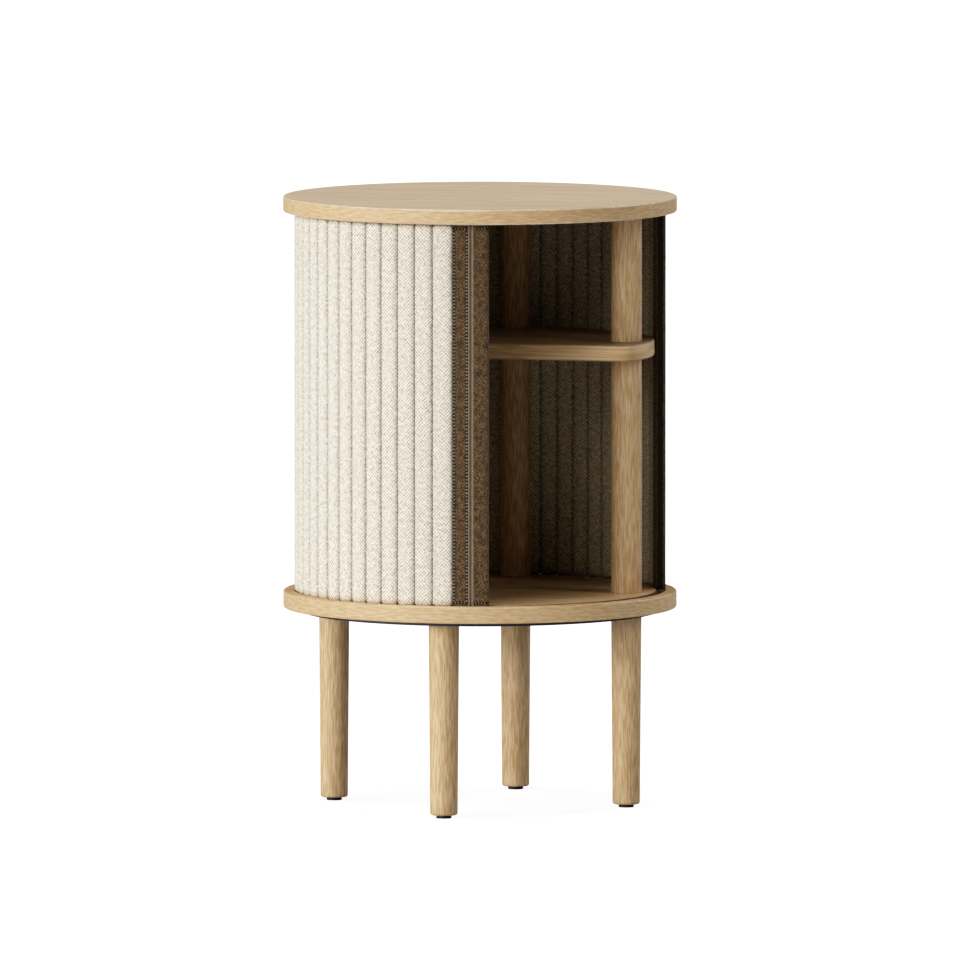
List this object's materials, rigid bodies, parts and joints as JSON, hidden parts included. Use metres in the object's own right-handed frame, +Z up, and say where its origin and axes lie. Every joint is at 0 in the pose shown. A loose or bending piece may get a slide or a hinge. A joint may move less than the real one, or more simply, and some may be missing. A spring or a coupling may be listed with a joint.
{
  "type": "round tambour bedside cabinet",
  "caption": "Round bedside cabinet on turned legs with a fabric tambour curtain that turns on a circular track round posts and a shelf.",
  "frame": {"origin": "on the floor under the centre of the round top and base panels", "axes": "+Z up; front towards -Y, with one leg at the front; +X to the right when facing the front"},
  "size_m": [0.3869, 0.387, 0.6],
  "materials": {
    "oak_board": "matt oiled oak veneer, straight grain",
    "oak_turned": "matt oiled solid oak, grain along the piece",
    "slat_wood": "unfinished poplar",
    "track_plastic": "matt dark brown",
    "plate_laminate": "black compact laminate",
    "glide_plastic": "matt black",
    "curtain_fabric": "cream twill",
    "pull_leather": "brown nubuck",
    "insert_brass": "machined",
    "zinc_steel": "zinc plated"
  },
  "bodies": {
    "carcass": {"base_insert": "insert_brass", "base_panel": "oak_board", "base_plate": "plate_laminate", "base_plate_screws": "zinc_steel", "glide_back": "glide_plastic", "glide_front": "glide_plastic", "glide_left": "glide_plastic", "glide_right": "glide_plastic", "glide_screws": "zinc_steel", "leg_back": "oak_turned", "leg_front": "oak_turned", "leg_inserts": "insert_brass", "leg_left": "oak_turned", "leg_right": "oak_turned", "leg_studs": "zinc_steel", "lower_post_back": "oak_turned", "lower_post_left": "oak_turned", "lower_post_right": "oak_turned", "lower_track": "track_plastic", "post_inserts": "insert_brass", "shelf": "oak_board", "shelf_studs": "zinc_steel", "top_inserts": "insert_brass", "top_panel": "oak_board", "top_studs": "zinc_steel", "upper_post_back": "oak_turned", "upper_post_left": "oak_turned", "upper_post_right": "oak_turned", "upper_track": "track_plastic"},
    "curtain": {"cover_inner": "curtain_fabric", "cover_outer": "curtain_fabric", "pull_front": "pull_leather", "pull_right": "pull_leather", "pull_slats_front": "slat_wood", "pull_slats_right": "slat_wood", "slat_43": "slat_wood", "slats_01_02": "slat_wood", "slats_03_04": "slat_wood", "slats_05_06": "slat_wood", "slats_07_08": "slat_wood", "slats_09_10": "slat_wood", "slats_11_12": "slat_wood", "slats_13_14": "slat_wood", "slats_15_16": "slat_wood", "slats_17_18": "slat_wood", "slats_19_20": "slat_wood", "slats_21_22": "slat_wood", "slats_23_24": "slat_wood", "slats_25_26": "slat_wood", "slats_27_28": "slat_wood", "slats_29_30": "slat_wood", "slats_31_32": "slat_wood", "slats_33_34": "slat_wood", "slats_35_36": "slat_wood", "slats_37_38": "slat_wood", "slats_39_40": "slat_wood", "slats_41_42": "slat_wood"}
  },
  "joints": [
    {"name": "curtain_turn", "type": "hinge", "parent": "carcass", "child": "curtain", "pos_m": [0, 0, 0], "axis": [0, 0, 1], "continuous": true}
  ]
}
